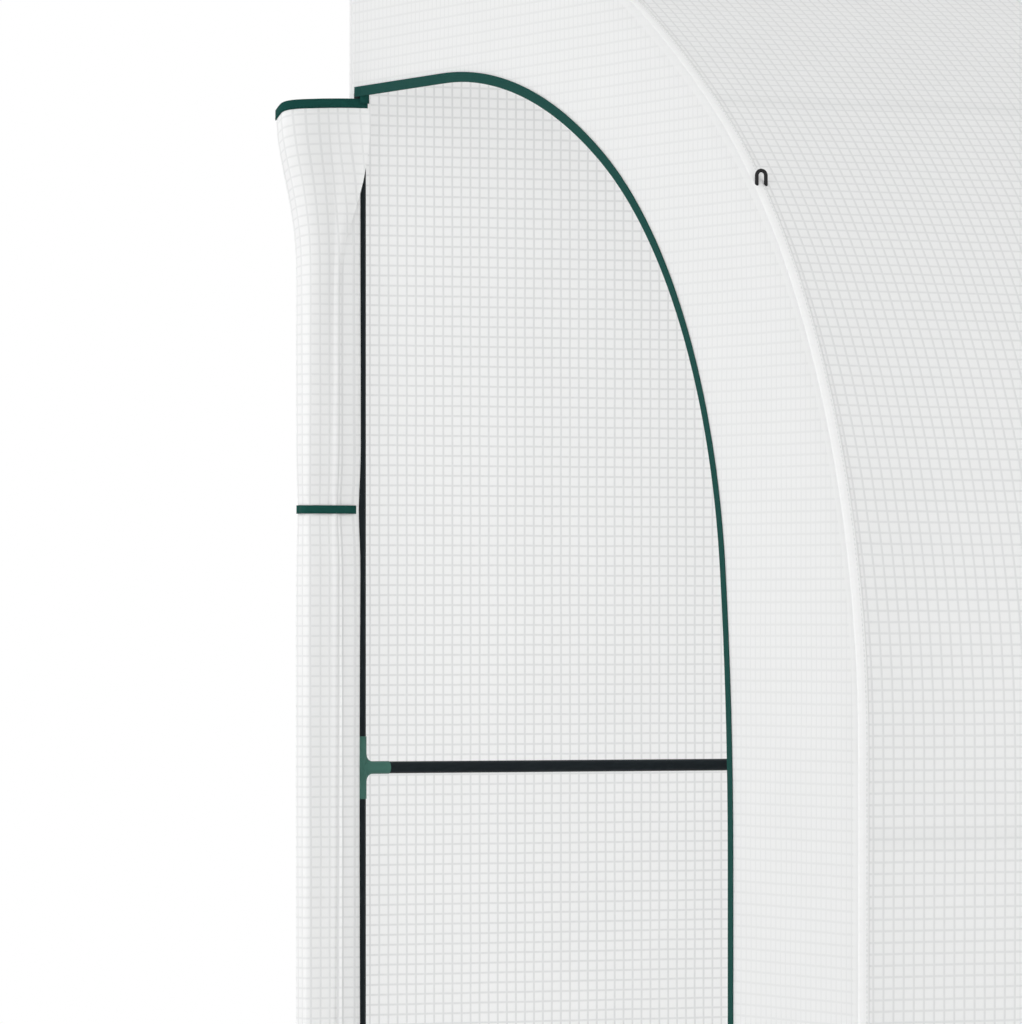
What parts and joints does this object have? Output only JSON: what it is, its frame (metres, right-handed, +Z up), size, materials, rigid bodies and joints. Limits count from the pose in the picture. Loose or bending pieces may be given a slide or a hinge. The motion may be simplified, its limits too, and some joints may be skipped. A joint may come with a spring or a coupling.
{
  "type": "lean-to greenhouse",
  "caption": "Walk-in lean-to tunnel greenhouse: steel tube frame under a curved reinforced sheet cover, open doorways at the ends with tied-back door flaps.",
  "frame": {"origin": "on the ground, in the middle of the footprint of the whole thing", "axes": "+X along the length, parallel to the wall it leans on; +Y from the low front to the tall back at the wall; +Z up"},
  "size_m": [3.212, 1.5, 2.14],
  "materials": {
    "frame_tube": "powder-coated dark green, satin",
    "connector": "moulded plastic, soft sheen",
    "cover_sheet": "grid-reinforced woven polyethylene sheet, white and slightly see-through, soft sheen",
    "flap_sheet": "grid-reinforced woven polyethylene sheet, gathered in folds",
    "binding": "dark green woven edging tape, sewn",
    "tie_webbing": "dark green woven tape",
    "loop_cord": "black woven cord"
  },
  "bodies": {
    "root": {"back_post_1": "frame_tube", "back_post_2": "frame_tube", "back_post_3": "frame_tube", "back_post_4": "frame_tube", "front_bow_1": "frame_tube", "front_bow_2": "frame_tube", "front_bow_3": "frame_tube", "front_bow_4": "frame_tube", "roof_bow_1": "frame_tube", "roof_bow_2": "frame_tube", "roof_bow_3": "frame_tube", "roof_bow_4": "frame_tube", "ridge_rails": "frame_tube", "roof_purlins": "frame_tube", "front_mid_rails": "frame_tube", "front_base_rails": "frame_tube", "back_mid_rails": "frame_tube", "back_base_rails": "frame_tube", "ridge_connectors": "connector", "purlin_connectors": "connector", "front_mid_connectors": "connector", "front_base_connectors": "connector", "back_mid_connectors": "connector", "back_base_connectors": "connector", "left_jamb_post": "frame_tube", "left_jamb_rails": "frame_tube", "left_jamb_connectors": "connector", "right_jamb_post": "frame_tube", "right_jamb_rails": "frame_tube", "right_jamb_connectors": "connector", "cover_front_roof": "cover_sheet", "cover_back": "cover_sheet", "left_end_side_panel": "cover_sheet", "left_end_top_panel": "cover_sheet", "right_end_side_panel": "cover_sheet", "right_end_top_panel": "cover_sheet", "left_door_binding": "binding", "right_door_binding": "binding", "left_door_flap": "flap_sheet", "right_door_flap": "flap_sheet", "left_flap_tie": "tie_webbing", "right_flap_tie": "tie_webbing", "corner_loops": "loop_cord"}
  },
  "joints": []
}
